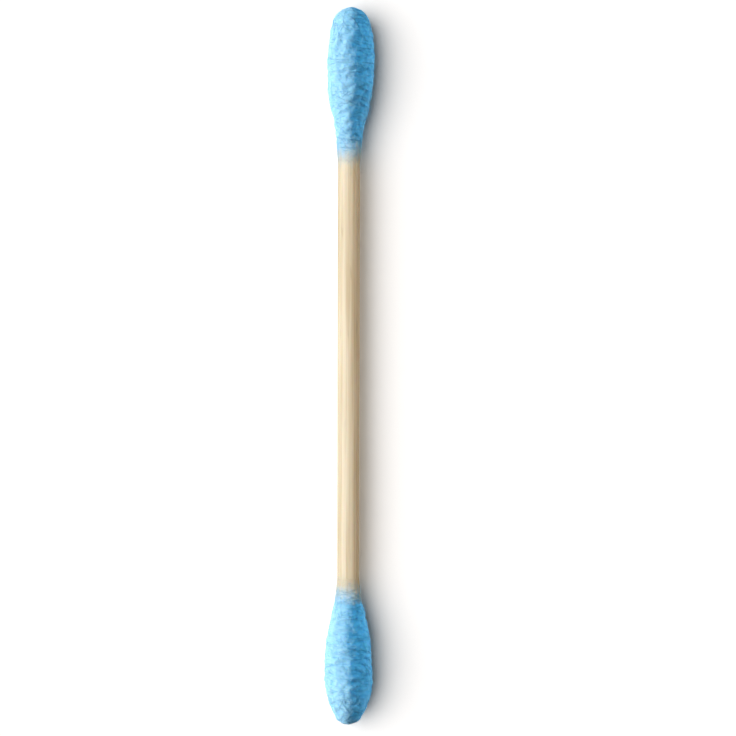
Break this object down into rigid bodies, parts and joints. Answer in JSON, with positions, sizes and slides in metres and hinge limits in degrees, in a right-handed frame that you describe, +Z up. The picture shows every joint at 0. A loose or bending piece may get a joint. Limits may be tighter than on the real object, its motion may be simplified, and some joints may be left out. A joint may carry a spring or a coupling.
{
  "type": "cotton swab",
  "caption": "Double-ended cotton swab: round bamboo stick with a pale blue wound cotton bud on each end, lying flat.",
  "frame": {"origin": "on the table, under the middle of the swab's length and breadth", "axes": "+Z up from the table; +Y along the stick, towards the upper bud; +X across the stick, towards the side that the upper bud leans to"},
  "size_m": [0.005, 0.075, 0.0049],
  "materials": {
    "bamboo": "matte, fine lengthwise grain",
    "cotton": "soft matte wound fibre, pale sky blue"
  },
  "bodies": {
    "root": {"stick": "bamboo", "upper_bud": "cotton", "lower_bud": "cotton"}
  },
  "joints": []
}
